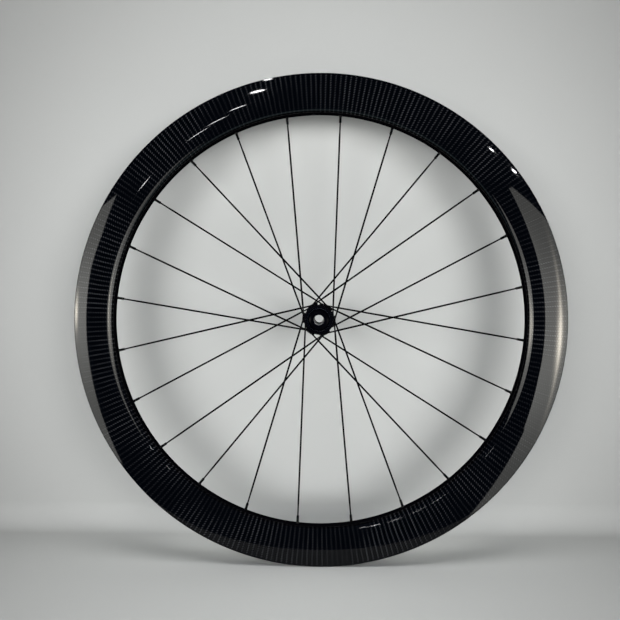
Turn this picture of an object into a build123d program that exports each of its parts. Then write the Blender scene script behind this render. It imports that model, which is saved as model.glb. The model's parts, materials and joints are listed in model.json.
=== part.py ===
from build123d import *
import os
from math import acos, cos, degrees, radians, sin, sqrt, tan
from typing import NamedTuple

# Bicycle front wheel. Sizes in millimetres. The wheel turns about Y through the origin, the disc brake
# side is -Y and the floor side is -Z. Angles go from the top of the wheel towards +X.

# Rim
bead_seat_radius = 311.0
lip_height = 5.5
rim_depth = 50.0
inner_width = 21.0
lip_wall = 2.6
belly = 0.9  # how far the widest place stands out past the lip
nose_inset = 1.5  # how far the round of the nose stays inside the widest place
widest_below_lip = 22.5
lip_bevel = 0.8
well_depth = 3.6
well_width = 8.0
shoulder_width = 4.4  # flat bead seat beside each lip
side_wall = 0.9
bed_wall = 1.1
spoke_bed = 2.2  # nose wall under the nipple heads
spoke_bed_flat = 9.0
valve_hole_diameter = 6.5
valve_angle = -1.5

# Lacing
lobes_per_flange = 6  # each lobe holds two spokes
lobe_lead = 5  # nipple spaces between a nipple and the hub lobe that its spoke starts from
lace_offset = 2.5  # how far each spoke sits to one side of its flange's middle
wire_diameter = 2.0
blade_width = 2.3
blade_thickness = 0.95
neck_length = 16.0
taper_length = 8.0
thread_length = 24.0
head_diameter = 4.4
head_height = 2.0

# Nipples
nipple_barrel = 4.0
nipple_drive = 3.3
nipple_corner = 0.4
nipple_head = 5.4
nipple_head_height = 2.4
barrel_length = 4.4
drive_length = 7.2
tip_below_head = 0.6  # the spoke's end below the top of the nipple

# Hub shell
hub_width = 100.0
shell_inset = 6.0
left_flange = 22.0  # from the rim's middle plane
right_flange = 34.0
left_spoke_circle = 19.0  # the radius that the spokes are tangent to
right_spoke_circle = 18.5
left_recess = 5.6  # from the shell's end to the bearing
right_recess = 1.4
flange_width = 10.4
lobe_rise = 2.7  # lobe above the spokes' centre line
lobe_round = 1.5
head_setback = 0.8  # head seat past the tangent point
pocket_depth = 0.7
waist_taper = 12.0  # length of the taper beside each flange
spline_teeth = 41
spline_radius = 17.5
spline_depth = 0.8
spline_tip_share = 0.36  # of the tooth pitch
spline_root_share = 0.6
spline_length = 7.0
rotor_shoulder = 18.6
rotor_shoulder_width = 2.4
shoulder_taper = 3.2
shell_wall = 1.8  # round the bearings
waist_wall = 1.5
bearing_step = 1.6  # shoulder that each bearing is pressed against
recess_step = 0.5  # how much wider the recess is than the bearing

# Bearings, axle and end caps
bearing_bore = 15.0
bearing_diameter = 28.0
bearing_width = 7.0
inner_ring_share = 0.29  # of the bearing's section
outer_ring_share = 0.28
seal_thickness = 0.8
seal_inset = 0.25
through_axle = 12.0
axle_shoulder = 18.0
cap_lip = 2.0
cap_neck_inset = 0.2  # inside the inner ring's edge
cap_neck_length = 2.0
cap_cover_inset = 0.3  # inside the bearing's edge
cap_cover_width = 1.2
cap_cone_length = 2.2
cap_face = 10.0
cap_bevel = 0.6

# Clearances
through_axle_gap = 0.05
seat_gap = 0.01
seal_gap = 0.1
thread_gap = 0.03
hole_gap = 0.2
slot_gap = 0.2
pocket_gap = 0.15
cut_past = 2.0  # how far a cut runs past the wall that it opens


class Side(NamedTuple):
    """One flange of the hub: which way is outboard, where it is and what it holds."""

    name: str
    outward: int
    flange_y: float
    spoke_circle: float
    recess: float


left = Side("left", -1, -left_flange, left_spoke_circle, left_recess)
right = Side("right", 1, right_flange, right_spoke_circle, right_recess)

lip_radius = bead_seat_radius + lip_height
nose_tip = lip_radius - rim_depth
seat_radius = nose_tip + spoke_bed
half_inner = inner_width / 2
half_lip = half_inner + lip_wall
half_rim = half_lip + belly
spoke_count = 4 * lobes_per_flange
nipple_pitch = 360 / spoke_count
cap_end = hub_width / 2
shell_end = cap_end - shell_inset
axle_end = cap_end - cap_lip
bore_radius = through_axle / 2 + through_axle_gap
bearing_section = (bearing_diameter - bearing_bore) / 2
inner_ring_edge = bearing_bore / 2 + inner_ring_share * bearing_section
outer_ring_edge = bearing_diameter / 2 - outer_ring_share * bearing_section
bore_relief = bearing_diameter / 2 - bearing_step
recess_radius = bearing_diameter / 2 + recess_step
flange_core = bearing_diameter / 2 + shell_wall
waist_radius = bore_relief + waist_wall


def on_wheel(radius, angle, y=0.0):
    """A point at this radius and angle on the wheel."""
    return Vector(radius * sin(radians(angle)), y, radius * cos(radians(angle)))


def turned(points):
    """A ring or disc turned about the axle from an outline of (radius, y) points."""
    return revolve(make_face(Polyline(*points, close=True)), Axis.Y)


def eight_sided(width, thickness):
    """A regular octagon when the sizes are equal, a flat blade with bevelled edges when they are not."""
    x = width / 2
    y = thickness / 2
    bevel = y * (1 - tan(radians(22.5)))
    quarter = [(x, y - bevel), (x - bevel, y)]
    top = quarter + [(-px, py) for px, py in reversed(quarter)]
    return make_face(Polyline(*top, *[(-px, -py) for px, py in top], close=True))


# Rim


def rim_outline():
    """Outer section of the rim as (radius, y), from the nose over both sides into the tyre channel."""
    nose_round = half_rim - nose_inset
    nose_centre = nose_tip + nose_round
    widest = lip_radius - widest_below_lip
    reach = widest - nose_centre
    side_round = (reach**2 + half_rim**2 - nose_round**2) / (2 * nose_inset)
    lean = Vector(-reach, side_round - half_rim).normalized()
    tangent = (nose_centre + nose_round * lean.X, nose_round * lean.Y)
    well_radius = bead_seat_radius - well_depth
    half_well = well_width / 2
    lip_corner = (lip_radius - lip_bevel, half_lip)
    half = [
        ThreePointArc((nose_tip, 0), on_round(nose_centre, nose_round, tangent), tangent),
        RadiusArc(tangent, (widest, half_rim), side_round),
        TangentArc((widest, half_rim), lip_corner, tangent=(1, 0)),
        Polyline(
            lip_corner,
            (lip_radius, half_lip - lip_bevel),
            (lip_radius, half_inner),
            (bead_seat_radius, half_inner),
            (bead_seat_radius, half_inner - shoulder_width),
            (well_radius, half_well),
            (well_radius, 0),
        ),
    ]
    return make_face(half + [mirror(edge, Plane.XZ) for edge in half])


def on_round(centre, radius, end):
    """The middle of the nose's arc between its tip and its end."""
    middle = Vector(end[0] - centre - radius, end[1]).normalized()
    return (centre + radius * middle.X, radius * middle.Y)


def rim_cavity():
    """Hollow of the rim's section, with a flat floor under the nipple heads."""
    nose_round = half_rim - nose_inset
    nose_centre = nose_tip + nose_round
    inner_round = nose_round - side_wall
    roof = bead_seat_radius - bed_wall
    well_roof = roof - well_depth
    half = [
        (seat_radius, spoke_bed_flat / 2),
        (nose_centre - inner_round * sqrt(0.5), inner_round * sqrt(0.5)),
        (nose_centre, inner_round),
        (lip_radius - widest_below_lip, half_rim - side_wall),
        (roof, half_lip - side_wall),
        (roof, half_inner - shoulder_width + bed_wall),
        (well_roof, (well_width + bed_wall) / 2),
    ]
    return make_face(Polyline(*half, *[(r, -y) for r, y in reversed(half)], close=True))


def make_rim(lines):
    rim = revolve(rim_outline() - rim_cavity(), Axis.Y)
    hole_width = nipple_barrel + 2 * hole_gap
    hole_run = spoke_bed + 2 * cut_past
    hole = extrude(eight_sided(hole_width, hole_width), -hole_run)
    holes = [line.plane * Pos(0, 0, line.seat + cut_past) * hole for line in lines]
    valve_plane = Plane(origin=(0, 0, 0), x_dir=(0, 1, 0), z_dir=on_wheel(1, valve_angle))
    valve_start = valve_plane * Pos(0, 0, nose_tip - cut_past)
    valve_hole = valve_start * extrude(Circle(valve_hole_diameter / 2), rim_depth + cut_past)
    return rim - holes - valve_hole


# Lacing


class SpokeLine(NamedTuple):
    """Where one spoke runs: its flange, its turn round the hub, its head and its reach to the rim."""

    side: Side
    turn: int
    plane: Plane
    seat: float
    lift: float


def nipple_angle(k):
    return valve_angle + (k + 0.5) * nipple_pitch


def spoke_line(k):
    """The line of spoke k, from its lobe at a tangent to the hub to its hole in the rim's nose."""
    side = left if k % 2 else right
    turn = 1 if k % 4 < 2 else -1
    angle = nipple_angle(k)
    foot_angle = angle + turn * degrees(acos(side.spoke_circle / seat_radius))
    foot = on_wheel(side.spoke_circle, foot_angle, side.flange_y + side.outward * turn * lace_offset)
    rim_point = on_wheel(seat_radius, angle)
    along = (rim_point - foot).normalized()
    across = Vector(0, 1, 0).cross(along).normalized()
    head = foot - along * head_setback
    tilt = acos(along.dot(on_wheel(1, angle)))
    lift = nipple_head / sqrt(3) * tan(tilt) + seat_gap
    plane = Plane(origin=head, x_dir=across, z_dir=along)
    return SpokeLine(side, turn, plane, (rim_point - head).length, lift)


def make_spoke(line):
    tip = line.seat + line.lift + nipple_head_height - tip_below_head
    wire = eight_sided(wire_diameter, wire_diameter)
    blade = eight_sided(blade_width, blade_thickness)
    thread_start = tip - thread_length
    stations = [
        (0, wire),
        (neck_length, wire),
        (neck_length + taper_length, blade),
        (thread_start - taper_length, blade),
        (thread_start, wire),
        (tip, wire),
    ]
    shank = loft([line.plane * Pos(0, 0, z) * section for z, section in stations], ruled=True)
    head = line.plane * extrude(eight_sided(head_diameter, head_diameter), -head_height)
    return shank + head


def make_nipple(line):
    seat = line.plane * Pos(0, 0, line.seat + line.lift)
    barrel_end = seat * Pos(0, 0, -barrel_length)
    head = seat * extrude(RegularPolygon(nipple_head / 2, 6, major_radius=False), nipple_head_height)
    barrel = seat * extrude(eight_sided(nipple_barrel, nipple_barrel), -barrel_length)
    square = Rectangle(nipple_drive, nipple_drive)
    drive = barrel_end * extrude(chamfer(square.vertices(), nipple_corner), -drive_length)
    bore_width = wire_diameter + 2 * thread_gap
    bore_run = barrel_length + drive_length + nipple_head_height
    bore = barrel_end * Pos(0, 0, -drive_length) * extrude(eight_sided(bore_width, bore_width), bore_run)
    return head + barrel + drive - bore


# Hub


def bearing_face(side):
    """The y of a bearing's outer face, and of its inner face."""
    outer = side.outward * (shell_end - side.recess)
    return outer, outer - side.outward * bearing_width


def make_lobe(side, angle):
    """A block on the flange whose two ends stand square to the two spokes that it holds."""
    lean = acos(side.spoke_circle / seat_radius) - radians(lobe_lead * nipple_pitch)
    face = head_setback + pocket_depth
    corners = []
    for height in (bore_relief, side.spoke_circle + lobe_rise):
        corners.append((face * cos(lean) + height * sin(lean), height * cos(lean) - face * sin(lean)))
    outline = make_face(Polyline(*corners, *[(-u, v) for u, v in reversed(corners)], close=True))
    outline = fillet(outline.vertices().group_by(Axis.Y)[-1], lobe_round)
    plane = Plane(origin=(0, side.flange_y, 0), x_dir=on_wheel(1, angle + 90), z_dir=(0, -1, 0))
    return plane * extrude(outline, flange_width / 2, both=True)


def make_spline():
    """Rotor spline, drawn as one toothed outline."""
    pitch = 360 / spline_teeth
    root = spline_radius - spline_depth
    rising = [(root, -spline_root_share / 2), (spline_radius, -spline_tip_share / 2)]
    flanks = rising + [(radius, -half_width) for radius, half_width in reversed(rising)]
    points = []
    for tooth in range(spline_teeth):
        for radius, half_width in flanks:
            at = on_wheel(radius, (tooth + half_width) * pitch)
            points.append((at.X, at.Z))
    plane = Plane(origin=(0, -shell_end, 0), x_dir=(1, 0, 0), z_dir=(0, 1, 0))
    return plane * extrude(make_face(Polyline(*points, close=True)), spline_length)


def make_shell_body():
    """Turned outside of the shell, from the rotor shoulder to the right end."""
    shoulder_start = spline_length - shell_end
    shoulder_end = shoulder_start + rotor_shoulder_width
    left_inner = left.flange_y + flange_width / 2
    right_inner = right.flange_y - flange_width / 2
    return turned(
        [
            (0, shoulder_start),
            (rotor_shoulder, shoulder_start),
            (rotor_shoulder, shoulder_end),
            (flange_core, shoulder_end + shoulder_taper),
            (flange_core, left_inner),
            (waist_radius, left_inner + waist_taper),
            (waist_radius, right_inner - waist_taper),
            (flange_core, right_inner),
            (flange_core, shell_end),
            (0, shell_end),
        ]
    )


def make_shell_bore():
    left_outer, left_inner = bearing_face(left)
    right_outer, right_inner = bearing_face(right)
    seat = bearing_diameter / 2 + seat_gap
    return turned(
        [
            (0, -shell_end),
            (recess_radius, -shell_end),
            (recess_radius, left_outer),
            (seat, left_outer),
            (seat, left_inner),
            (bore_relief, left_inner),
            (bore_relief, right_inner),
            (seat, right_inner),
            (seat, right_outer),
            (recess_radius, right_outer),
            (recess_radius, shell_end),
            (0, shell_end),
        ]
    )


def make_hub_shell(lines):
    lobes = [
        make_lobe(line.side, nipple_angle(k) + lobe_lead * nipple_pitch)
        for k, line in enumerate(lines)
        if line.turn > 0
    ]
    half_slot = wire_diameter / 2 + slot_gap
    pocket_width = head_diameter + 2 * pocket_gap
    cuts = []
    for line in lines:
        opens = line.side.outward * line.turn
        middle = opens * (flange_width - half_slot) / 2
        slot_length = line.side.spoke_circle + lobe_rise
        slot = extrude(Rectangle(2 * half_slot, flange_width + half_slot), slot_length)
        pocket = extrude(eight_sided(pocket_width, pocket_width), -head_height - cut_past)
        cuts += [line.plane * Pos(0, middle, -pocket_depth) * slot, line.plane * pocket]
    return make_shell_body() + make_spline() + lobes - make_shell_bore() - cuts


def make_axle():
    left_inner = bearing_face(left)[1]
    right_inner = bearing_face(right)[1]
    seat = bearing_bore / 2 - seat_gap
    return turned(
        [
            (bore_radius, -axle_end),
            (seat, -axle_end),
            (seat, left_inner),
            (axle_shoulder / 2, left_inner),
            (axle_shoulder / 2, right_inner),
            (seat, right_inner),
            (seat, axle_end),
            (bore_radius, axle_end),
        ]
    )


def make_ring(inner, outer, start, end):
    return turned([(inner, start), (outer, start), (outer, end), (inner, end)])


def make_bearing(side):
    """The two rings of a cartridge bearing and its two seals, by name."""
    outer_face, inner_face = bearing_face(side)
    seals = []
    for face, inward in ((outer_face, -side.outward), (inner_face, side.outward)):
        start = face + inward * seal_inset
        end = start + inward * seal_thickness
        seals.append(make_ring(inner_ring_edge + seal_gap, outer_ring_edge - seat_gap, start, end))
    bearing = f"{side.name}_bearing"
    return {
        f"{bearing}_inner_ring": make_ring(bearing_bore / 2, inner_ring_edge, outer_face, inner_face),
        f"{bearing}_outer_ring": make_ring(outer_ring_edge, bearing_diameter / 2, outer_face, inner_face),
        f"{bearing}_outer_seal": seals[0],
        f"{bearing}_inner_seal": seals[1],
    }


def make_end_cap(side):
    """A cap that slides over the axle's end, bears on the inner ring and shields the bearing."""
    out = side.outward
    start = bearing_face(side)[0]
    cover = start + out * cap_neck_length
    cone = cover + out * cap_cover_width
    face = cone + out * cap_cone_length
    end = out * cap_end
    sleeve = bearing_bore / 2 + seat_gap
    neck = inner_ring_edge - cap_neck_inset
    cover_edge = bearing_diameter / 2 - cap_cover_inset
    return turned(
        [
            (sleeve, start),
            (neck, start),
            (neck, cover),
            (cover_edge, cover),
            (cover_edge, cone),
            (cap_face, face),
            (cap_face, end - out * cap_bevel),
            (cap_face - cap_bevel, end),
            (bore_radius + cap_bevel, end),
            (bore_radius, end - out * cap_bevel),
            (bore_radius, out * axle_end),
            (sleeve, out * axle_end),
        ]
    )


def make_parts():
    lines = [spoke_line(k) for k in range(spoke_count)]
    parts = {"rim": make_rim(lines), "hub_shell": make_hub_shell(lines), "axle": make_axle()}
    for side in (left, right):
        own = [line for line in lines if line.side is side]
        parts[f"{side.name}_nipples"] = Compound(children=[make_nipple(line) for line in own])
        for number, line in enumerate(own, 1):
            parts[f"{side.name}_spoke_{number:02d}"] = make_spoke(line)
        parts |= make_bearing(side)
        parts[f"{side.name}_end_cap"] = make_end_cap(side)
    return parts


os.makedirs("parts", exist_ok=True)
for node, solid in make_parts().items():
    export_step(solid, f"parts/{node}.step")
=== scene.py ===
import json
from math import acos, cos, degrees, pi, radians, sin, sqrt, tan
from typing import NamedTuple

import bmesh
import bpy
import numpy as np
from mathutils import Matrix, Vector

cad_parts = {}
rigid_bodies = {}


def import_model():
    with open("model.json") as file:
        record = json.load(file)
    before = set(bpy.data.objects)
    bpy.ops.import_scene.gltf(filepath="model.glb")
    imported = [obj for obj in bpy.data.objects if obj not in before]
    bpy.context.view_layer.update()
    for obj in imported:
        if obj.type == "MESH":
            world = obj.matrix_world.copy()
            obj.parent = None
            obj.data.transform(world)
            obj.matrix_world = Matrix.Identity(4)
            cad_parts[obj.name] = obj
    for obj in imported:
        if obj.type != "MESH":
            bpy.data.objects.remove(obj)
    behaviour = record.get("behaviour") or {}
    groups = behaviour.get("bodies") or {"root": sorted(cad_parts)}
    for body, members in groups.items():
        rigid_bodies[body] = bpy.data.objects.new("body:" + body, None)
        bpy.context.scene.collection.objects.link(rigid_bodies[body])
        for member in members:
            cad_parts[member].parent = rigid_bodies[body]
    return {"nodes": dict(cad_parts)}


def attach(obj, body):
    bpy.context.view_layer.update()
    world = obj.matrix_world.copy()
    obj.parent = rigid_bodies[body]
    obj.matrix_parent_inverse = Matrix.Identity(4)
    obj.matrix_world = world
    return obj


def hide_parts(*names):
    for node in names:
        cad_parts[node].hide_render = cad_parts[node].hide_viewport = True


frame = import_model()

# Looks of the bicycle front wheel. Shapes are worked out in millimetres and made in metres.
MM = 0.001

for leftover in list(bpy.data.objects):
    if leftover.parent is None and not leftover.name.startswith("body:"):
        bpy.data.objects.remove(leftover)
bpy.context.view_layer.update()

# Rim section, as in the solids: radii from the axle's line and half widths
LIP_RADIUS = 316.5
SEAT_RADIUS = 311.0
WELL_RADIUS = 307.4
WIDEST_RADIUS = 294.0
NOSE_TIP = 266.5
NOSE_ROUND = 12.5
HALF_RIM = 14.0
HALF_LIP = 13.1
HALF_INNER = 10.5
SEAT_EDGE = 6.1
HALF_WELL = 4.0
CAVITY = [  # (r, y) points of half the hollow
    (268.7, 4.5),
    (270.8, 8.2),
    (279.0, 11.6),
    (294.0, 13.1),
    (309.9, 12.2),
    (309.9, 7.2),
    (306.3, 4.55),
]
VALVE_ANGLE = -1.5
VALVE_HOLE_RADIUS = 3.25
NIPPLE_HOLE_RADIUS = 2.2

# Rim mesh
LIP_ROUND = 0.8  # in place of the solids' bevel
LIP_EDGE = 0.5  # round of the lip's inner edge
RIM_SEGMENTS = 720
NOSE_SEGMENTS = 14
SIDE_SEGMENTS = 6
BELLY_SEGMENTS = 5
LIP_SEGMENTS = 5
LIP_EDGE_SEGMENTS = 3
NIPPLE_HOLE_SIDES = 24
NIPPLE_CUT_IN = 6.0  # reach of a nipple hole's cutter on either side of the seat
NIPPLE_CUT_OUT = 3.0
VALVE_HOLE_SIDES = 32
VALVE_CUT_SPARE = 4.0
LIP_STEP = 0.02  # points this far past the side's end belong to the lip
NOSE_BAND = 29.0  # half the arc of the dull band under the nipples
MID_PLANE = 1e-6  # points nearer to the middle plane than this lie on it
SKIN_MATCH = 0.97  # least cosine between a face of the skin and the section's own normal

# Lacing, as in the solids
SPOKE_COUNT = 24
NIPPLE_PITCH = 360 / SPOKE_COUNT
NIPPLE_SEAT = 268.7
LACE_OFFSET = 2.5
HEAD_SETBACK = 0.8
WIRE_RADIUS = 1.0
BLADE_HALF_WIDTH = 1.15
BLADE_HALF_THICKNESS = 0.475
NECK_LENGTH = 16.0
TAPER_LENGTH = 8.0
THREAD_LENGTH = 24.0
HEAD_RADIUS = 2.2
HEAD_HEIGHT = 2.0
NIPPLE_HEAD = 2.7  # half the hexagon's width across flats
NIPPLE_HEAD_HEIGHT = 2.4
NIPPLE_PLAY = 0.01
BARREL_RADIUS = 2.0
BARREL_LENGTH = 4.4
DRIVE_HALF = 1.65
DRIVE_LENGTH = 7.2
THREAD_BORE = 1.03
TIP_BELOW_HEAD = 0.6

# Rounded edges of spokes and nipples: (distance from the end, inset) or plain sizes
HEAD_CROWN = [(0.0, 0.5), (0.12, 0.2), (0.4, 0.0)]
HEAD_BREAK = 0.15
TIP_BREAK = 0.2
DRIVE_CROWN = [(0.0, 0.25), (0.12, 0.07)]
DRIVE_FULL = 0.35
COLLAR_LENGTH = 0.1
COLLAR_RISE = 0.05
BARREL_BREAK = 0.2
NIPPLE_CHAMFER_HEIGHT = 0.3
NIPPLE_CHAMFER_INSET = 0.4

# Outlines across a spoke's line: points around, and the powers of their curves
AROUND = 16
ROUND = 2.0
FLAT_OVAL = 2.8
SOFT_SQUARE = 5.0
SQUARE = 7.0
TAPER_SHARES = (0.2, 0.4, 0.6, 0.8, 1.0)
SPOKE_SHARP = 40  # faces that meet at more degrees than this keep a sharp edge
NIPPLE_SHARP = 35

# Weave of the rim's outer cloth
WEAVE_REPEATS = 300
WEAVE_RADIUS = 296.0
WEAVE_PERIOD = 2 * pi * WEAVE_RADIUS / WEAVE_REPEATS
TOWS_A_REPEAT = 2.0
FLOAT_TOWS = 2.0  # a tow goes over this many others, and then under as many
WANDER = 0.22  # how far the tows drift round the rim, and the scale of the drift
WANDER_SCALE = 0.35
FIBRES_ACROSS = 9.0  # scale of the fibres over a tow's width and along it
FIBRES_ALONG = 0.7
FIBRE_SHEEN = 0.4  # share of the fibres in the tows' painted sheen and in their height
FIBRE_BUMP = 0.25
BUNDLES_AROUND = 1.1  # scale of bundles of tows with more and less painted sheen
BUNDLES_ACROSS = 0.12


class Flange(NamedTuple):
    outward: int
    y: float
    spoke_circle: float


FLANGES = {
    "left": Flange(outward=-1, y=-22.0, spoke_circle=19.0),
    "right": Flange(outward=1, y=34.0, spoke_circle=18.5),
}


def on_wheel(radius, angle, y=0.0):
    """A point at this radius and angle, angles going from the top towards +X."""
    return Vector((radius * sin(radians(angle)), y, radius * cos(radians(angle))))


# Nodes

NOISE_LOW, NOISE_HIGH = 0.3, 0.7  # where nearly all of a noise's values lie


def feed(tree, socket, value):
    """Links a socket to another one, or sets its value."""
    if isinstance(value, bpy.types.NodeSocket):
        tree.links.new(value, socket)
    else:
        socket.default_value = value


def add(tree, kind, inputs=None, **settings):
    """Adds a node with these settings, and with its inputs set or linked by name or place."""
    node = tree.nodes.new(kind)
    for name, value in settings.items():
        setattr(node, name, value)
    for key, value in (inputs or {}).items():
        feed(tree, node.inputs[key], value)
    return node


def calc(tree, operation, *values):
    return add(tree, "ShaderNodeMath", dict(enumerate(values)), operation=operation).outputs[0]


def product(tree, result, *others):
    """All the values multiplied."""
    for other in others:
        result = calc(tree, "MULTIPLY", result, other)
    return result


def half_wave(tree, share):
    """Rises from 0 to 1 and falls back as the share goes from 0 to 1."""
    return calc(tree, "SINE", product(tree, share, pi))


def bell(tree, value, middle, width):
    """A smooth rise and fall about a middle."""
    share = calc(tree, "DIVIDE", calc(tree, "SUBTRACT", value, middle), width)
    return calc(tree, "EXPONENT", product(tree, share, share, -1.0))


def vector(tree, x=0.0, y=0.0, z=0.0):
    return add(tree, "ShaderNodeCombineXYZ", {0: x, 1: y, 2: z}).outputs[0]


def split(tree, point):
    return add(tree, "ShaderNodeSeparateXYZ", {0: point}).outputs


def mix_value(tree, share, first, second):
    return add(tree, "ShaderNodeMix", {0: share, 2: first, 3: second}).outputs[0]


def mix_colour(tree, share, first, second):
    node = add(tree, "ShaderNodeMix", data_type="RGBA")
    sockets = [socket for socket in node.inputs if socket.enabled]
    for socket, value in zip(sockets, (share, first, second)):
        feed(tree, socket, value)
    return [socket for socket in node.outputs if socket.enabled][0]


def ramp(tree, value, low, high, to_low=0.0, to_high=1.0):
    node = add(tree, "ShaderNodeMapRange", {0: value, 1: low, 2: high, 3: to_low, 4: to_high})
    return node.outputs[0]


def noise(tree, place, scale=1.0, detail=2.0):
    node = add(tree, "ShaderNodeTexNoise", {"Vector": place, "Scale": scale, "Detail": detail})
    return node.outputs["Fac"]


def from_noise(tree, value, low, high):
    """A noise spread over the range from low to high."""
    return ramp(tree, value, NOISE_LOW, NOISE_HIGH, low, high)


def grey(value, blue=1.0):
    return (value, value, value * blue, 1.0)


def empty_material(name):
    """A material with no shader yet, and the socket that takes one."""
    material = bpy.data.materials.new(name)
    material.use_nodes = True
    tree = material.node_tree
    tree.nodes.clear()
    return material, tree, add(tree, "ShaderNodeOutputMaterial").inputs["Surface"]


def new_material(name, **values):
    """A material with one Principled shader, its plain values set on the shader itself."""
    material, tree, surface = empty_material(name)
    shader = add(tree, "ShaderNodeBsdfPrincipled")
    tree.links.new(shader.outputs[0], surface)
    for key, value in values.items():
        feed(tree, shader.inputs[key.replace("_", " ")], value)
    return material, tree, shader


def bump(tree, shader, height, strength, depth, **inputs):
    """Bends the shader's normal by a height."""
    node = add(tree, "ShaderNodeBump", {"Height": height, "Strength": strength, "Distance": depth, **inputs})
    feed(tree, shader.inputs["Normal"], node.outputs[0])


def object_point(tree):
    return add(tree, "ShaderNodeTexCoord").outputs["Object"]


def weave_place(tree):
    return add(tree, "ShaderNodeUVMap", uv_map="weave").outputs[0]


def wheel_radius(tree, point):
    """Distance from the axle's line, and the place along it."""
    x, along, z = split(tree, point)
    squares = calc(tree, "ADD", product(tree, x, x), product(tree, z, z))
    return calc(tree, "SQRT", squares), along


# Materials

CLOTH_DEPTH = 0.0001
FINE_DEPTH = 0.00005
EDGE_RADIUS = 0.00025
EDGE_MATCH = (0.985, 0.80)  # cosines at which an edge starts to look worn and is fully so
BORE_LIGHT_END = 0.01  # place along the axle where the bore's light grey ends
BORE_FADE = 0.004


def twill(tree, around, outwards):
    """The tow on top at a place of the weave: its family, its crown across, its arch along and its fibres."""
    first = product(tree, calc(tree, "ADD", around, outwards), TOWS_A_REPEAT)
    second = product(tree, calc(tree, "SUBTRACT", around, outwards), TOWS_A_REPEAT)
    step = calc(tree, "ADD", calc(tree, "FLOOR", first), calc(tree, "FLOOR", second))
    phase = calc(tree, "FLOORED_MODULO", step, 2 * FLOAT_TOWS)
    over = calc(tree, "LESS_THAN", phase, FLOAT_TOWS - 0.5)
    across = mix_value(tree, over, second, first)
    along = mix_value(tree, over, first, second)
    crown = half_wave(tree, calc(tree, "FRACT", across))
    reach = calc(tree, "DIVIDE", calc(tree, "ADD", calc(tree, "FRACT", along), phase), FLOAT_TOWS)
    arch = half_wave(tree, calc(tree, "FRACT", reach))
    fibre_place = vector(tree, product(tree, across, FIBRES_ACROSS), product(tree, along, FIBRES_ALONG), over)
    return over, crown, arch, noise(tree, fibre_place, detail=1.0)


def carbon_material():
    """Twill cloth laid at 45 degrees under clear lacquer, with the tows' sheen painted into the base colour:
    one family of tows lighter, more so in some patches and bundles, and highest in the middle of each float.
    """
    material, tree, shader = new_material(
        "carbon_twill", Roughness=0.38, Specular_IOR_Level=0.0, Coat_Roughness=0.03, Coat_IOR=1.5
    )
    resin = grey(0.0003, blue=1.6)
    dark_tow = grey(0.0002, blue=1.6)
    # Colour of the painted sheen on the lighter family of tows
    painted_sheen_tow = grey(0.047, blue=1.08)
    uv = weave_place(tree)
    around, outwards, _ = split(tree, uv)
    wander = calc(tree, "SUBTRACT", noise(tree, uv, scale=WANDER_SCALE), 0.5)
    around = calc(tree, "ADD", around, product(tree, wander, WANDER))
    over, crown, arch, fibre = twill(tree, around, outwards)
    # Painted sheen, stronger in some patches and bundles of tows than in others
    patches = noise(tree, object_point(tree), scale=10.0, detail=1.0)
    sheen_patch_share = ramp(tree, patches, low=0.42, high=0.58, to_low=0.35)
    bundle_turn = product(tree, around, BUNDLES_AROUND)
    bundle_place = vector(tree, bundle_turn, product(tree, outwards, BUNDLES_ACROSS))
    bundle_sheen = ramp(tree, noise(tree, bundle_place, detail=1.0), low=0.35, high=0.65, to_low=0.5)
    painted_sheen = mix_colour(tree, product(tree, over, sheen_patch_share, bundle_sheen), dark_tow, painted_sheen_tow)
    # Painted highlight along the crown and middle of each float, with its fibres; it also sets the lacquer's
    # weight
    lift = calc(tree, "MULTIPLY_ADD", crown, arch, product(tree, fibre, FIBRE_SHEEN))
    highlight_share = ramp(tree, lift, low=0.5, high=1.2)
    feed(tree, shader.inputs["Base Color"], mix_colour(tree, highlight_share, resin, painted_sheen))
    feed(tree, shader.inputs["Coat Weight"], ramp(tree, lift, low=0.4, high=1.1, to_low=0.76))
    height = calc(tree, "ADD", crown, product(tree, fibre, FIBRE_BUMP))
    bump(tree, shader, height, strength=0.25, depth=CLOTH_DEPTH)
    return material


def bare_carbon_material(name, dark, light, blue, gloss):
    """Carbon without lacquer: matt, with straight fibres round the rim and dull patches."""
    material, tree, shader = new_material(name, Specular_IOR_Level=gloss)
    uv = weave_place(tree)
    stretched = add(tree, "ShaderNodeMapping", {"Vector": uv, "Scale": (0.4, 14.0, 1.0)}).outputs[0]
    fibre = noise(tree, stretched, detail=3.0)
    patch = noise(tree, uv, scale=0.15)
    feed(tree, shader.inputs["Base Color"], mix_colour(tree, fibre, grey(dark, blue), grey(light, blue)))
    feed(tree, shader.inputs["Roughness"], from_noise(tree, patch, low=0.45, high=0.62))
    bump(tree, shader, fibre, strength=0.2, depth=CLOTH_DEPTH)
    return material


def edge_wear(tree):
    """A rounded normal, and a mask of the edges where it leaves the true one."""
    soft = add(tree, "ShaderNodeBevel", {"Radius": EDGE_RADIUS}, samples=4).outputs[0]
    true = add(tree, "ShaderNodeNewGeometry").outputs["Normal"]
    match = add(tree, "ShaderNodeVectorMath", {0: soft, 1: true}, operation="DOT_PRODUCT").outputs["Value"]
    return soft, ramp(tree, match, *EDGE_MATCH)


def light_bore_end(tree, shader, radius, along, bore, colour):
    """Makes the inside of the axle's bore light grey with faint rings, and partly metallic, from its
    disc-side end to BORE_LIGHT_END; further in it keeps the given colour.
    """
    inside = calc(tree, "LESS_THAN", radius, bore)
    near = ramp(tree, along, BORE_LIGHT_END + BORE_FADE, BORE_LIGHT_END - BORE_FADE)
    # Share of the surface made light grey: inside the bore and on its disc side
    bare = product(tree, inside, near)
    rings = noise(tree, vector(tree, y=along), scale=1500.0, detail=1.0)
    feed(tree, shader.inputs["Metallic"], product(tree, bare, 0.4))
    return mix_colour(tree, bare, colour, mix_colour(tree, rings, grey(0.7), grey(0.9)))


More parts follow.
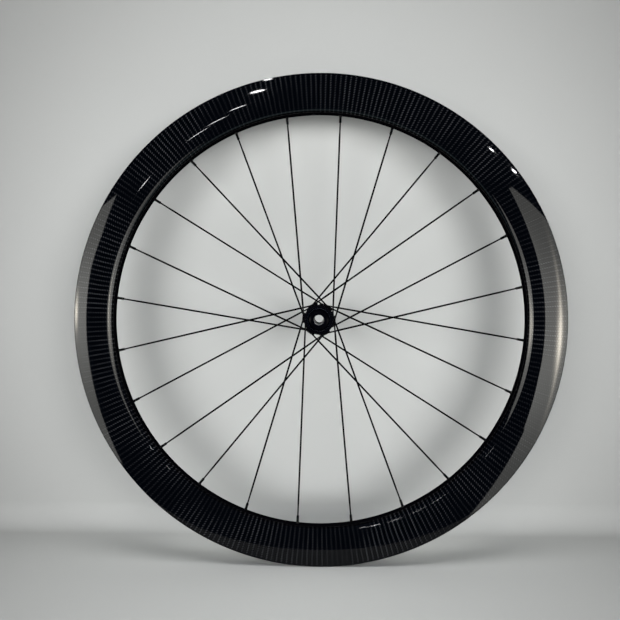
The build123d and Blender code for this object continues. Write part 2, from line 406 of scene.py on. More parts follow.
def anodised_material(name, dark, worn, grain, dull, gloss, bore=None):
    """Turned alloy with a dyed anodised skin: faint tool marks, cloudy dullness and lighter edges."""
    material, tree, shader = new_material(name, Specular_IOR_Level=gloss)
    point = object_point(tree)
    radius, along = wheel_radius(tree, point)
    marks = noise(tree, vector(tree, radius, along), scale=grain)
    cloud = noise(tree, point, scale=260.0, detail=3.0)
    soft, edges = edge_wear(tree)
    tone = mix_colour(tree, cloud, grey(dark * 0.7, blue=2.0), grey(dark * 1.3, blue=2.0))
    wear = product(tree, edges, ramp(tree, cloud, low=0.35, high=0.65, to_low=0.15, to_high=0.6))
    colour = mix_colour(tree, wear, tone, grey(worn))
    if bore:
        colour = light_bore_end(tree, shader, radius, along, bore, colour)
    feed(tree, shader.inputs["Base Color"], colour)
    feed(tree, shader.inputs["Roughness"], from_noise(tree, marks, dull * 0.8, dull * 1.2))
    bump(tree, shader, marks, strength=0.12, depth=FINE_DEPTH, Normal=soft)
    return material


def painted_material(name, dark, gloss, smooth, rough, speck):
    """Thin black coat over metal, with fine orange peel and a few dull specks."""
    material, tree, shader = new_material(name, Specular_IOR_Level=gloss)
    point = object_point(tree)
    peel = noise(tree, point, scale=3200.0)
    specks = noise(tree, point, scale=speck)
    feed(tree, shader.inputs["Base Color"], mix_colour(tree, specks, grey(dark * 0.6), grey(dark * 1.5)))
    feed(tree, shader.inputs["Roughness"], from_noise(tree, specks, smooth, rough))
    bump(tree, shader, peel, strength=0.08, depth=FINE_DEPTH)
    return material


def steel_material():
    """Ground bearing steel: rings of fine grinding marks and a little oil."""
    material, tree, shader = new_material("bearing_steel", Metallic=1.0)
    point = object_point(tree)
    marks = noise(tree, vector(tree, *wheel_radius(tree, point)), scale=6000.0)
    oil = noise(tree, point, scale=120.0, detail=3.0)
    feed(tree, shader.inputs["Base Color"], mix_colour(tree, oil, grey(0.42), grey(0.62)))
    feed(tree, shader.inputs["Roughness"], from_noise(tree, marks, low=0.2, high=0.34))
    bump(tree, shader, marks, strength=0.1, depth=FINE_DEPTH)
    return material


def rubber_material():
    """Moulded seal rubber with a dusty bloom."""
    material, tree, shader = new_material("seal_rubber", Specular_IOR_Level=0.35)
    bloom = noise(tree, object_point(tree), scale=400.0, detail=4.0)
    feed(tree, shader.inputs["Base Color"], mix_colour(tree, bloom, grey(0.008), grey(0.03)))
    feed(tree, shader.inputs["Roughness"], from_noise(tree, bloom, low=0.5, high=0.7))
    bump(tree, shader, bloom, strength=0.15, depth=FINE_DEPTH)
    return material


# Meshes


def new_piece(name, points, faces):
    """A mesh object in the scene."""
    mesh = bpy.data.meshes.new(name)
    mesh.from_pydata(points, [], faces)
    piece = bpy.data.objects.new(name, mesh)
    bpy.context.scene.collection.objects.link(piece)
    return piece


def joined(skins):
    """Points and faces of several skins as one list of each."""
    points, faces = [], []
    for skin_points, skin_faces in skins:
        start = len(points)
        faces += [tuple(start + corner for corner in face) for face in skin_faces]
        points += list(skin_points)
    return points, faces


def face_outwards(mesh):
    """Turns the faces of closed skins outwards."""
    shape = bmesh.new()
    shape.from_mesh(mesh)
    bmesh.ops.recalc_face_normals(shape, faces=shape.faces)
    shape.to_mesh(mesh)
    shape.free()


def make_smooth(mesh):
    mesh.polygons.foreach_set("use_smooth", np.ones(len(mesh.polygons), dtype=bool))


def values_of(items, name, width, kind=np.float64):
    """One property of all the items of a mesh, with a row for each item."""
    values = np.empty(len(items) * width, dtype=kind)
    items.foreach_get(name, values)
    return values.reshape(-1, width)


def arc(centre, radius, start, end, count):
    """Points on a round from one angle to another, in degrees from the +r axis of the section."""
    steps = np.linspace(radians(start), radians(end), count + 1)
    return [(centre[0] + radius * cos(t), centre[1] + radius * sin(t)) for t in steps]


def revolve(section, flip):
    """Points and quads of a closed section of (r, y) points turned about the axle."""
    count = len(section)
    turns = np.linspace(0, 2 * pi, RIM_SEGMENTS, endpoint=False)
    r, y = np.array(section).T
    rings = [np.outer(np.sin(turns), r), np.tile(y, (RIM_SEGMENTS, 1)), np.outer(np.cos(turns), r)]
    quads = []
    for i in range(RIM_SEGMENTS):
        a, b = i * count, (i + 1) % RIM_SEGMENTS * count
        for j in range(count):
            k = (j + 1) % count
            quad = (a + j, b + j, b + k, a + k)
            quads.append(quad[::-1] if flip else quad)
    return np.stack(rings, axis=2).reshape(-1, 3), quads


def rod(at, along, radius, start, end, sides):
    """Points and faces of a cylinder along a line."""
    across = along.orthogonal().normalized()
    up = along.cross(across)
    points = []
    for z in (start, end):
        for i in range(sides):
            t = 2 * pi * i / sides
            points.append(at + along * z + (across * cos(t) + up * sin(t)) * radius)
    faces = [tuple(reversed(range(sides))), tuple(range(sides, 2 * sides))]
    for i in range(sides):
        j = (i + 1) % sides
        faces.append((i, j, sides + j, sides + i))
    return points, faces


# Lacing


class SpokeLine(NamedTuple):
    side: str
    head: Vector
    along: Vector
    seat: float  # from the head's seat to the nipple's
    lift: float  # the nipple's hexagon stands off its seat, because the line is at a slant


def spoke_line(k):
    """The line of spoke k, from its hub flange to its hole in the rim's nose."""
    side = "left" if k % 2 else "right"
    flange = FLANGES[side]
    turn = 1 if k % 4 < 2 else -1
    angle = VALVE_ANGLE + (k + 0.5) * NIPPLE_PITCH
    foot_angle = angle + turn * degrees(acos(flange.spoke_circle / NIPPLE_SEAT))
    foot = on_wheel(flange.spoke_circle, foot_angle, flange.y + flange.outward * turn * LACE_OFFSET)
    rim_point = on_wheel(NIPPLE_SEAT, angle)
    along = (rim_point - foot).normalized()
    head = foot - along * HEAD_SETBACK
    slant = acos(along.dot(on_wheel(1, angle)))
    lift = NIPPLE_HEAD * 2 / sqrt(3) * tan(slant) + NIPPLE_PLAY
    return SpokeLine(side, head, along, (rim_point - head).length, lift)


LINES = [spoke_line(k) for k in range(SPOKE_COUNT)]


# Rim


class RimSide(NamedTuple):
    nose_centre: float
    side_round: float
    side_angle: float  # degrees
    belly_round: float
    belly_angle: float


def rim_side():
    """Rounds of the rim's side below and above its widest place, from the section's own sizes."""
    nose_centre = NOSE_TIP + NOSE_ROUND
    reach = WIDEST_RADIUS - nose_centre
    side_round = (reach**2 + HALF_RIM**2 - NOSE_ROUND**2) / (2 * (HALF_RIM - NOSE_ROUND))
    side_angle = degrees(np.arctan2(reach, side_round - HALF_RIM))
    rise = LIP_RADIUS - LIP_ROUND - WIDEST_RADIUS
    drop = HALF_RIM - HALF_LIP
    belly_round = (rise**2 + drop**2) / (2 * drop)
    return RimSide(nose_centre, side_round, side_angle, belly_round, degrees(np.arcsin(rise / belly_round)))


SIDE = rim_side()


def rim_half_section():
    """(r, y) points of the rim's outer section on the +y side, from nose to lip and into the tyre well."""
    side_centre = (WIDEST_RADIUS, HALF_RIM - SIDE.side_round)
    belly_centre = (WIDEST_RADIUS, HALF_RIM - SIDE.belly_round)
    lip_centre = (LIP_RADIUS - LIP_ROUND, HALF_LIP - LIP_ROUND)
    edge_centre = (LIP_RADIUS - LIP_EDGE, HALF_INNER + LIP_EDGE)
    side_start, belly_end = 90 + SIDE.side_angle, 90 - SIDE.belly_angle
    points = arc((SIDE.nose_centre, 0), NOSE_ROUND, 180, side_start, NOSE_SEGMENTS)
    points += arc(side_centre, SIDE.side_round, side_start, 90, SIDE_SEGMENTS)[1:]
    points += arc(belly_centre, SIDE.belly_round, 90, belly_end, BELLY_SEGMENTS)[1:]
    points += arc(lip_centre, LIP_ROUND, belly_end, 0, LIP_SEGMENTS)[1:]
    points += arc(edge_centre, LIP_EDGE, 0, -90, LIP_EDGE_SEGMENTS)
    points += [(SEAT_RADIUS, HALF_INNER), (SEAT_RADIUS, SEAT_EDGE)]
    points += [(WELL_RADIUS, HALF_WELL), (WELL_RADIUS, 0)]
    return points


def rim_cuts():
    """Points and faces of the rods that cut the nipple holes and the valve hole."""
    cuts = []
    for line in LINES:
        start, end = line.seat - NIPPLE_CUT_IN, line.seat + NIPPLE_CUT_OUT
        cuts.append(rod(line.head, line.along, NIPPLE_HOLE_RADIUS, start, end, NIPPLE_HOLE_SIDES))
    start, end = NOSE_TIP - VALVE_CUT_SPARE, LIP_RADIUS + VALVE_CUT_SPARE
    cuts.append(rod(Vector(), on_wheel(1, VALVE_ANGLE), VALVE_HOLE_RADIUS, start, end, VALVE_HOLE_SIDES))
    return joined(cuts)


def cut_rim():
    """The rim's hollow ring with its holes, in millimetres."""
    half = rim_half_section()
    section = half + [(r, -y) for r, y in reversed(half[1:-1])]
    hollow = CAVITY + [(r, -y) for r, y in reversed(CAVITY)]
    rim = new_piece("rim_carbon", *joined([revolve(section, flip=False), revolve(hollow, flip=True)]))
    cutter = new_piece("holes", *rim_cuts())
    face_outwards(cutter.data)
    modifier = rim.modifiers.new("holes", "BOOLEAN")
    modifier.object = cutter
    modifier.operation = "DIFFERENCE"
    modifier.solver = "EXACT"
    graph = bpy.context.evaluated_depsgraph_get()
    uncut = rim.data
    cut = bpy.data.meshes.new_from_object(rim.evaluated_get(graph))
    rim.modifiers.clear()
    rim.data = cut
    bpy.data.objects.remove(cutter)
    bpy.data.meshes.remove(uncut)
    return rim


def section_place(r, y):
    """The skin at (r, y): its normal's parts outwards and along the axle, and its length from the nose."""
    height = np.abs(y)
    nose = np.arctan2(height, SIDE.nose_centre - r)
    side = np.arctan2(r - WIDEST_RADIUS, height - (HALF_RIM - SIDE.side_round))
    belly = np.arctan2(r - WIDEST_RADIUS, height - (HALF_RIM - SIDE.belly_round))
    on_nose = r < SIDE.nose_centre - NOSE_ROUND * sin(radians(SIDE.side_angle))
    on_side = (~on_nose) & (r < WIDEST_RADIUS)
    nose_length = NOSE_ROUND * radians(90 - SIDE.side_angle)
    side_length = SIDE.side_round * radians(SIDE.side_angle)
    length = np.where(on_side, SIDE.side_round * side, SIDE.belly_round * belly) + nose_length + side_length
    length = np.where(on_nose, NOSE_ROUND * nose, length)
    tilt = np.where(on_nose, nose - pi / 2, np.where(on_side, side, belly))
    lip_r, lip_y = LIP_RADIUS - LIP_ROUND, HALF_LIP - LIP_ROUND
    on_lip = (r > lip_r + LIP_STEP) & (height > lip_y)
    tilt = np.where(on_lip, np.arctan2(r - lip_r, height - lip_y), tilt)
    return np.sin(tilt), np.cos(tilt) * np.sign(y), length * np.sign(y)


def radius_of(place):
    """Distances of places from the axle's line."""
    return np.hypot(place[:, 0], place[:, 2])


def turned(place, outwards, along):
    """Normals at these places, from their parts outwards and along the axle."""
    normals = place * (outwards / radius_of(place))[:, None]
    normals[:, 1] = along
    return normals


def rim_skin(centre, flat):
    """Which of the rim's faces are on its outer skin, from their centres and normals."""
    r = radius_of(centre)
    outwards, along, _ = section_place(r, centre[:, 1] + MID_PLANE)
    match = np.sum(turned(centre, outwards, along) * flat, axis=1)
    outside = (np.abs(centre[:, 1]) > HALF_INNER) | (r < SIDE.nose_centre)
    return (match > SKIN_MATCH) & outside


def finish_rim(mesh, centre, skin):
    """Lacquered twill on the skin, dull carbon at its nose and lips, and bare carbon elsewhere."""
    lacquered, bare, dull = range(3)
    mesh.materials.clear()
    mesh.materials.append(carbon_material())
    mesh.materials.append(bare_carbon_material("carbon_bed", dark=0.006, light=0.022, blue=1.2, gloss=0.4))
    mesh.materials.append(bare_carbon_material("carbon_dull", dark=0.0006, light=0.002, blue=1.5, gloss=0.0))
    r = radius_of(centre)
    on_nose = r < NOSE_TIP + NOSE_ROUND * (1 - cos(radians(NOSE_BAND)))
    on_lip = r > LIP_RADIUS - LIP_ROUND + LIP_STEP
    finish = np.where(skin, np.where(on_nose | on_lip, dull, lacquered), bare)
    mesh.polygons.foreach_set("material_index", finish.astype(np.int32))


def dress_rim(mesh):
    """Gives the rim's mesh its materials, weave and smooth normals, and brings it to metres."""
    centre = values_of(mesh.polygons, "center", 3)
    flat = values_of(mesh.polygons, "normal", 3)
    skin = rim_skin(centre, flat)
    finish_rim(mesh, centre, skin)
    make_smooth(mesh)

    place = values_of(mesh.vertices, "co", 3)
    on_middle = np.abs(place[:, 1]) < MID_PLANE
    y = np.where(on_middle, MID_PLANE, place[:, 1])
    outwards, along, length = section_place(radius_of(place), y)
    corner = values_of(mesh.loops, "vertex_index", 1, np.int32)[:, 0]
    corners_each = values_of(mesh.polygons, "loop_total", 1, np.int32)[:, 0]
    owner = np.repeat(np.arange(len(mesh.polygons)), corners_each)
    normals = np.where(skin[owner][:, None], turned(place, outwards, along)[corner], flat[owner])

    middle = np.arctan2(centre[:, 0], centre[:, 2])[owner]
    turn = np.arctan2(place[:, 0], place[:, 2])[corner]
    turn = middle + (turn - middle + pi) % (2 * pi) - pi
    run = np.where(on_middle, 0.0, length)[corner]
    uv = np.stack([turn / (2 * pi) * WEAVE_REPEATS, run / WEAVE_PERIOD], axis=1)
    layer = mesh.uv_layers.new(name="weave")
    layer.data.foreach_set("uv", uv.astype(np.float32).ravel())
    mesh.transform(Matrix.Scale(MM, 4))
    mesh.normals_split_custom_set(normals.tolist())


def make_rim():
    rim = cut_rim()
    dress_rim(rim.data)
    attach(rim, "wheel")
    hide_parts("rim")


# Spokes and nipples


def outline(half_width, half_height, power):
    """A round, oval or rounded square of AROUND points."""
    points = []
    for i in range(AROUND):
        t = 2 * pi * (i + 0.5) / AROUND
        reach = (abs(cos(t)) ** power + abs(sin(t)) ** power) ** (-1 / power)
        points.append((half_width * reach * cos(t), half_height * reach * sin(t)))
    return points


def along_line(line, stations):
    """Rings of points set along a spoke's line, from (distance, half width, half height, power) stations."""
    across = Vector((0, 1, 0)).cross(line.along).normalized()
    up = line.along.cross(across)
    return [
        [line.head + line.along * z + across * px + up * py for px, py in outline(width, height, power)]
        for z, width, height, power in stations
    ]


def loft(rings, closed):
    """Points and faces of a skin over rings of points; closed joins the last ring to the first."""
    count = len(rings)
    faces = []
    for a in range(count if closed else count - 1):
        b = (a + 1) % count
        for i in range(AROUND):
            j = (i + 1) % AROUND
            faces.append((a * AROUND + i, a * AROUND + j, b * AROUND + j, b * AROUND + i))
    if not closed:
        faces.append(tuple(reversed(range(AROUND))))
        faces.append(tuple(range((count - 1) * AROUND, count * AROUND)))
    return [point for ring in rings for point in ring], faces


def metal_piece(name, skins, material, sharp):
    """One mesh object from several skins, smooth except where faces meet at more than the sharp angle."""
    points, faces = joined(skins)
    piece = new_piece(name, [point * MM for point in points], faces)
    mesh = piece.data
    face_outwards(mesh)
    make_smooth(mesh)
    mesh.set_sharp_from_angle(angle=radians(sharp))
    mesh.materials.append(material)
    return piece


def taper(start, first, last):
    """Stations of a smooth change from one outline to another."""
    stations = []
    for share in TAPER_SHARES:
        ease = share * share * (3 - 2 * share)
        sizes = [a + (b - a) * ease for a, b in zip(first, last)]
        stations.append((start + TAPER_LENGTH * share, *sizes))
    return stations


def spoke_stations(line):
    """A round head, a round neck, a flat blade and a round threaded end."""
    tip = line.seat + line.lift + NIPPLE_HEAD_HEIGHT - TIP_BELOW_HEAD
    blade_end = tip - THREAD_LENGTH - TAPER_LENGTH
    wire = (WIRE_RADIUS, WIRE_RADIUS, ROUND)
    blade = (BLADE_HALF_WIDTH, BLADE_HALF_THICKNESS, FLAT_OVAL)
    head = [(z - HEAD_HEIGHT, HEAD_RADIUS - inset) for z, inset in HEAD_CROWN]
    head += [(-HEAD_BREAK, HEAD_RADIUS), (0, HEAD_RADIUS - HEAD_BREAK), (0, WIRE_RADIUS + HEAD_BREAK)]
    stations = [(z, radius, radius, ROUND) for z, radius in head]
    stations += [(HEAD_BREAK, *wire), (NECK_LENGTH, *wire)]
    stations += taper(NECK_LENGTH, wire, blade)
    stations.append((blade_end, *blade))
    stations += taper(blade_end, blade, wire)
    stations += [(tip - TIP_BREAK, *wire), (tip, WIRE_RADIUS - TIP_BREAK, WIRE_RADIUS - TIP_BREAK, ROUND)]
    return stations


def make_spokes():
    material = painted_material("spoke_black", dark=0.0015, gloss=0.05, smooth=0.3, rough=0.42, speck=700.0)
    numbers = dict.fromkeys(FLANGES, 0)
    for line in LINES:
        numbers[line.side] += 1
        node = f"{line.side}_spoke_{numbers[line.side]:02d}"
        skin = loft(along_line(line, spoke_stations(line)), closed=False)
        spoke = metal_piece(f"{node}_wire", [skin], material, SPOKE_SHARP)
        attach(spoke, "wheel")
        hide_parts(node)


def nipple_stations(line):
    """A square drive, a round barrel and a round head, and back through the thread's bore."""
    top = line.seat + line.lift
    crown = top + NIPPLE_HEAD_HEIGHT
    shoulder = top - BARREL_LENGTH
    end = shoulder - DRIVE_LENGTH
    rings = [(end, THREAD_BORE, ROUND)]
    rings += [(end + z, DRIVE_HALF - inset, SOFT_SQUARE) for z, inset in DRIVE_CROWN]
    rings += [
        (end + DRIVE_FULL, DRIVE_HALF, SQUARE),
        (shoulder - COLLAR_LENGTH, DRIVE_HALF, SQUARE),
        (shoulder, DRIVE_HALF + COLLAR_RISE, SQUARE),
        (shoulder, BARREL_RADIUS - BARREL_BREAK, ROUND),
        (shoulder + BARREL_BREAK, BARREL_RADIUS, ROUND),
        (top, BARREL_RADIUS, ROUND),
        (top, NIPPLE_HEAD, ROUND),
        (crown - NIPPLE_CHAMFER_HEIGHT, NIPPLE_HEAD, ROUND),
        (crown, NIPPLE_HEAD - NIPPLE_CHAMFER_INSET, ROUND),
        (crown, THREAD_BORE, ROUND),
    ]
    return [(z, size, size, power) for z, size, power in rings]


def make_nipples():
    material = painted_material("nipple_black", dark=0.002, gloss=0.35, smooth=0.2, rough=0.3, speck=1100.0)
    for side in FLANGES:
        lines = [line for line in LINES if line.side == side]
        skins = [loft(along_line(line, nipple_stations(line)), closed=True) for line in lines]
        nipples = metal_piece(f"{side}_nipples_turned", skins, material, NIPPLE_SHARP)
        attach(nipples, "wheel")
        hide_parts(f"{side}_nipples")


# Hub

CAP_BORE = 0.0061
AXLE_BORE = 0.0062


def dress(node, material):
    """Gives a CAD node its material."""
    for slot in frame["nodes"][node].material_slots:
        slot.material = material


def dress_hub():
    shell = anodised_material("hub_anodised", dark=0.0012, worn=0.012, grain=5000.0, dull=0.26, gloss=0.12)
    cap = anodised_material(
        "cap_anodised", dark=0.001, worn=0.01, grain=7000.0, dull=0.14, gloss=0.03, bore=CAP_BORE
    )
    axle = anodised_material(
        "axle_alloy", dark=0.003, worn=0.02, grain=6000.0, dull=0.6, gloss=0.0, bore=AXLE_BORE
    )
    steel = steel_material()
    rubber = rubber_material()
    dress("hub_shell", shell)
    dress("axle", axle)
    for side in FLANGES:
        dress(f"{side}_end_cap", cap)
        for place in ("inner", "outer"):
            dress(f"{side}_bearing_{place}_ring", steel)
            dress(f"{side}_bearing_{place}_seal", rubber)


# Stage, in metres

FLOOR = -LIP_RADIUS * MM
FLOOR_HALF_WIDTH = 3.0
FLOOR_HALF_DEPTH = 4.0
FLOOR_SEEN = 0.065  # the lacquer shows the floor only behind a curve that starts this far in front
FLOOR_CURVE = 1.4
FLOOR_SIDE = 0.38  # and only as far as this to either side
FLOOR_CLEAR = 0.55  # and there the floor is clear to it by this share
WALL_FOOT = 0.125
WALL_RISE = [(0.12, -0.2), (0.098, 0.0), (0.068, 0.2), (0.036, 0.33), (-0.02, 0.5), (-0.12, 0.75)]
WALL_HALF = 1.4
SWEEP = 0.035  # round between floor and wall
SWEEP_STEPS = 12
PALE = (0.662, 0.672, 0.652, 1.0)
# Painted light fall-off on the paper: pale near the wheel, this darker grey far from it
FALLOFF_SHADE = grey(0.24, blue=0.97)
SMUDGE = grey(0.3)
SMUDGE_SHARE = 0.06
FALLOFF_CENTRE = (-0.02, 0.06, 0.0)
FALLOFF_START = 0.2
FALLOFF_END = 0.78


def paper_material(name):
    """Pale matt paper with painted shade that darkens it away from the wheel, as the light falls off."""
    material, tree, shader = new_material(name, Roughness=0.85, Specular_IOR_Level=0.2)
    point = object_point(tree)
    # Painted shade: the paper darkens with distance from the centre of its painted pool of light
    offset = add(tree, "ShaderNodeVectorMath", {0: point, 1: FALLOFF_CENTRE}, operation="DISTANCE")
    reach = {0: offset.outputs["Value"], 1: FALLOFF_START, 2: FALLOFF_END}
    painted_falloff = add(tree, "ShaderNodeMapRange", reach, interpolation_type="SMOOTHSTEP").outputs[0]
    smudge = from_noise(tree, noise(tree, point, scale=3.0, detail=3.0), 0.0, SMUDGE_SHARE)
    colour = mix_colour(tree, smudge, mix_colour(tree, painted_falloff, PALE, FALLOFF_SHADE), SMUDGE)
    feed(tree, shader.inputs["Base Color"], colour)
    return material


def cut_away(material, hidden):
    """Makes a stage material clear where the hidden socket is 1."""
    tree = material.node_tree
    surface = next(node for node in tree.nodes if node.type == "OUTPUT_MATERIAL").inputs["Surface"]
    shader = surface.links[0].from_socket
    clear = add(tree, "ShaderNodeBsdfTransparent").outputs[0]
    tree.links.new(add(tree, "ShaderNodeMixShader", {0: hidden, 1: shader, 2: clear}).outputs[0], surface)


def backfacing(tree):
    return add(tree, "ShaderNodeNewGeometry").outputs["Backfacing"]


def sheet(name, corners, material):
    """A flat sheet of the stage."""
    placed = new_piece(name, corners, [tuple(range(len(corners)))])
    placed.data.materials.append(material)
    return placed


def make_floor():
    paper = paper_material("floor_paper")
    tree = paper.node_tree
    x, y, _ = split(tree, object_point(tree))
    curve = calc(tree, "MULTIPLY_ADD", product(tree, x, x), FLOOR_CURVE, FLOOR_SEEN)
    in_front = calc(tree, "LESS_THAN", calc(tree, "ADD", y, curve), 0.0)
    beside = calc(tree, "GREATER_THAN", calc(tree, "ABSOLUTE", x), FLOOR_SIDE)
    unseen = calc(tree, "MAXIMUM", calc(tree, "MAXIMUM", in_front, beside), FLOOR_CLEAR)
    glossy = add(tree, "ShaderNodeLightPath").outputs["Is Glossy Ray"]
    cut_away(paper, product(tree, unseen, glossy))
    width, depth = FLOOR_HALF_WIDTH, FLOOR_HALF_DEPTH
    corners = [(-width, -depth), (width, -depth), (width, depth), (-width, depth)]
    sheet("floor", [(*corner, FLOOR) for corner in corners], paper)


def make_wall():
    """The wall, from the floor round a sweep and up. From behind it is clear."""
    paper = paper_material("wall_paper")
    cut_away(paper, backfacing(paper.node_tree))
    turns = np.linspace(-pi / 2, 0, SWEEP_STEPS + 1)
    line = [(WALL_FOOT - SWEEP + SWEEP * cos(t), FLOOR + SWEEP + SWEEP * sin(t)) for t in turns] + WALL_RISE
    points = [(x, y, z) for y, z in line for x in (-WALL_HALF, WALL_HALF)]
    faces = [(i, i + 1, i + 3, i + 2) for i in range(0, len(points) - 2, 2)]
    wall = new_piece("wall", points, faces)
    make_smooth(wall.data)
    wall.data.materials.append(paper)


# Light

AXIS_X, AXIS_Y = 0, 1


class Glow(NamedTuple):
    """The rise and fall of a window's light over its height."""

    strength: float
    height: float
    tall: float


class HotSpot(NamedTuple):
    """A warm bright spot of a window: its place and width along one axis, its height and how tall it is."""

    place: float
    width: float
    strength: float
    height: float
    tall: float


WINDOW_COLOUR = (0.98, 0.99, 0.95, 1.0)
HOT_COLOUR = (1.0, 0.92, 0.78, 1.0)
LEFT_WINDOW_X = -1.8
LEFT_WINDOW = [  # (y, z) corners
    (-3.05, -1.4),
    (-3.18, -0.5),
    (-3.2, 0.3),
    (-3.3, 0.43),
    (-3.45, 0.6),
    (-3.35, 1.0),
    (-2.7, 0.86),
    (-2.0, 0.85),
    (-1.3, 0.75),
    (-0.7, 0.45),
    (-0.35, 0.0),
    (-0.7, -0.5),
    (-1.3, -0.9),
    (-2.0, -1.1),
]
LEFT_LEVEL = 1.95
LEFT_GLOW = Glow(strength=2.4, height=-0.03, tall=0.45)
LEFT_HOT = [
    HotSpot(place=-2.4, width=0.09, strength=18.0, height=-0.02, tall=0.11),
    HotSpot(place=-1.2, width=0.6, strength=8.0, height=0.0, tall=0.2),
]
RIGHT_WINDOW_START = Vector((0.9, -2.09, 0.0))
RIGHT_WINDOW_ALONG = Vector((0.66, 0.75, 0.0)).normalized()
RIGHT_WINDOW = [  # (distance along the window from its start, z) corners
    (0.05, -1.6),
    (0.13, -0.6),
    (-0.17, -0.27),
    (-0.2, -0.1),
    (-0.16, 0.27),
    (0.0, 0.57),
    (0.1, 0.61),
    (0.343, 0.57),
    (0.556, 0.51),
    (1.2, 0.33),
    (1.8, 0.2),
    (1.9, -0.9),
    (1.0, -1.35),
]
RIGHT_LEVEL = 1.35
RIGHT_GLOW = Glow(strength=2.3, height=-0.2, tall=0.42)
RIGHT_HOT = [
    HotSpot(place=1.21, width=0.045, strength=14.0, height=-0.14, tall=0.14),
    HotSpot(place=1.22, width=0.022, strength=9.0, height=-0.12, tall=0.3),
    HotSpot(place=1.5, width=0.2, strength=3.0, height=0.0, tall=0.2),
]
CARD_COLOUR = (0.68, 0.92, 1.0, 1.0)
CARD_LEVEL = 0.4
CARD_HALF_WIDTH = 0.5
CARD_FRONT = -0.34
CARD_BACK = -0.05
CARD_RISE = 0.2
LEAN = radians(11.2)  # the room's tilt against the wheel's plane
CEILING = 1.9
SPOTS = [  # x, y, width and radiance of the ceiling lamps
    (-0.35, -2.07, 0.06, 60.0),
    (-0.42, -2.54, 0.1, 60.0),
    (-0.53, -3.53, 0.12, 45.0),
    (-0.61, -4.62, 0.13, 40.0),
    (-0.69, -5.4, 0.14, 40.0),
    (-1.12, -6.35, 0.16, 40.0),
    (1.42, -3.1, 0.06, 150.0),
    (1.8, -3.31, 0.08, 150.0),
]
KEYS = [  # name, place, width and power of the soft lamps
    ("left_key", (-1.15, -2.15, 0.15), 1.3, 30.0),
    ("right_key", (1.2, -2.15, 0.15), 1.3, 37.0),
    ("overhead", (0.0, -0.4, 2.2), 1.6, 50.0),
]
ROOM_FRONT = (0.012, 0.026, 0.055, 1.0)
ROOM_BACK = (0.5, 0.51, 0.505, 1.0)
ROOM_FADE = (-0.2, 0.3)  # where front gives way to back, from -1 straight in front to 1 straight behind


def emission(tree, colour, strength):
    return add(tree, "ShaderNodeEmission", {0: colour, 1: strength}).outputs[0]


def reflected_only(pane):
    """Leaves a pane of light to be seen in polished surfaces alone."""
    pane.visible_camera = False
    pane.visible_diffuse = False
    pane.visible_transmission = False
    pane.visible_shadow = False


def window(name, corners, axis, level, glow, hot_spots):
    """A tall pale window that is dim above and below, with warm hot spots at places along an axis."""
    material, tree, surface = empty_material(name)
    place = split(tree, object_point(tree))
    z = place[2]
    pale = calc(tree, "MULTIPLY_ADD", bell(tree, z, glow.height, glow.tall), glow.strength, level)
    heat = 0.0
    for hot in hot_spots:
        beside = bell(tree, place[axis], hot.place, hot.width)
        spot = product(tree, beside, bell(tree, z, hot.height, hot.tall))
        heat = calc(tree, "MULTIPLY_ADD", spot, hot.strength, heat)
    layers = {0: emission(tree, WINDOW_COLOUR, pale), 1: emission(tree, HOT_COLOUR, heat)}
    tree.links.new(add(tree, "ShaderNodeAddShader", layers).outputs[0], surface)
    reflected_only(sheet(name, corners, material))


def make_windows():
    left = [(LEFT_WINDOW_X, y, z) for y, z in LEFT_WINDOW]
    window("left_window", left, AXIS_Y, LEFT_LEVEL, LEFT_GLOW, LEFT_HOT)
    right = [RIGHT_WINDOW_START + RIGHT_WINDOW_ALONG * run + Vector((0, 0, z)) for run, z in RIGHT_WINDOW]
    window("right_window", right, AXIS_X, RIGHT_LEVEL, RIGHT_GLOW, RIGHT_HOT)


def make_front_card():
    """The near floor's gleam in the nose: a low sloping card that faces only the upper part of the rim."""
    material, tree, surface = empty_material("front_card")
    tree.links.new(emission(tree, CARD_COLOUR, CARD_LEVEL), surface)
    cut_away(material, backfacing(tree))
    width, top = CARD_HALF_WIDTH, FLOOR + CARD_RISE
    corners = [(-width, CARD_FRONT, FLOOR), (width, CARD_FRONT, FLOOR)]
    corners += [(width, CARD_BACK, top), (-width, CARD_BACK, top)]
    reflected_only(sheet("front_card", corners, material))


def lamp(name, shape, centre, facing, size, power):
    """A flat soft lamp that the camera doesn't see."""
    light = bpy.data.lights.new(name, "AREA")
    light.shape = shape
    light.size = size
    light.energy = power
    placed = bpy.data.objects.new(name, light)
    turn = Vector((0, 0, -1)).rotation_difference(Vector(facing)).to_matrix().to_4x4()
    placed.matrix_world = Matrix.Translation(centre) @ turn
    placed.visible_camera = False
    bpy.context.scene.collection.objects.link(placed)
    return placed


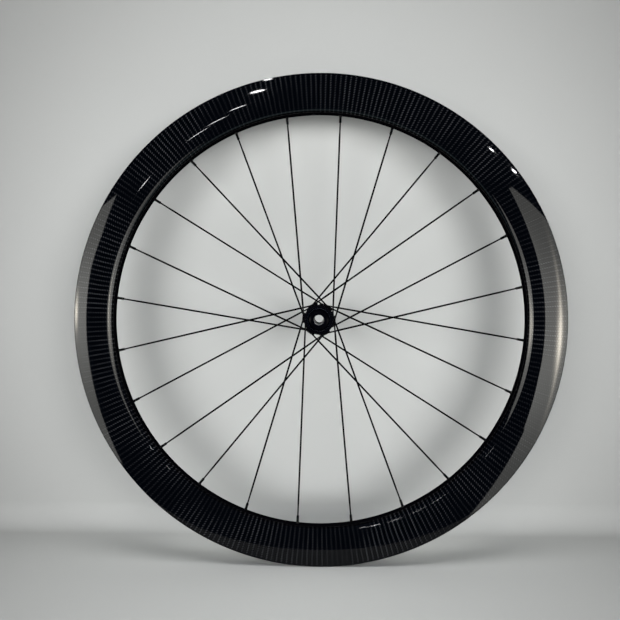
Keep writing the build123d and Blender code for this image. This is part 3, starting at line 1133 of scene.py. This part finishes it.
def make_lamps():
    """Small ceiling lamps that only show as gleams, and soft lamps that light the scene without gleams."""
    up = Vector((0, -sin(LEAN), cos(LEAN)))
    for number, (x, y, size, radiance) in enumerate(SPOTS, start=1):
        z = (CEILING + y * sin(LEAN)) / cos(LEAN)
        area = pi * size**2 / 4
        spot = lamp(f"spot_{number}", "DISK", (x, y, z), -up, size, radiance * pi * area)
        spot.visible_diffuse = False
    for name, place, size, power in KEYS:
        key = lamp(name, "SQUARE", place, -Vector(place), size, power)
        key.visible_glossy = False


def make_room():
    """A dim bluish room in front and a pale one behind, which is also what the camera sees past the stage."""
    world = bpy.data.worlds.new("room")
    bpy.context.scene.world = world
    world.use_nodes = True
    tree = world.node_tree
    _, toward, _ = split(tree, add(tree, "ShaderNodeTexCoord").outputs["Generated"])
    seen = add(tree, "ShaderNodeLightPath").outputs["Is Camera Ray"]
    behind = calc(tree, "MAXIMUM", ramp(tree, toward, *ROOM_FADE), seen)
    feed(tree, tree.nodes["Background"].inputs[0], mix_colour(tree, behind, ROOM_FRONT, ROOM_BACK))


# Camera

CAMERA_PLACE = (0.00364, -0.74697, 0.02017)
CAMERA_YAW = -1.184
CAMERA_PITCH = 0.346
CAMERA_LENS = 33.266
CAMERA_SENSOR = 36.0
CAMERA_SHIFT = -0.01615
CAMERA_NEAR = 0.01


def make_camera():
    data = bpy.data.cameras.new("camera")
    data.lens = CAMERA_LENS
    data.sensor_width = CAMERA_SENSOR
    data.shift_y = CAMERA_SHIFT
    data.clip_start = CAMERA_NEAR
    camera = bpy.data.objects.new("camera", data)
    bpy.context.scene.collection.objects.link(camera)
    yaw, pitch = radians(CAMERA_YAW), radians(CAMERA_PITCH)
    forward = Vector((sin(yaw) * cos(pitch), cos(yaw) * cos(pitch), sin(pitch)))
    side = forward.cross(Vector((0, 0, 1))).normalized()
    up = side.cross(forward)
    turn = Matrix((side, up, -forward)).transposed().to_4x4()
    camera.matrix_world = Matrix.Translation(CAMERA_PLACE) @ turn
    bpy.context.scene.camera = camera


make_rim()
make_spokes()
make_nipples()
dress_hub()
make_floor()
make_wall()
make_windows()
make_front_card()
make_lamps()
make_room()
make_camera()
bpy.context.scene.view_settings.view_transform = "Standard"
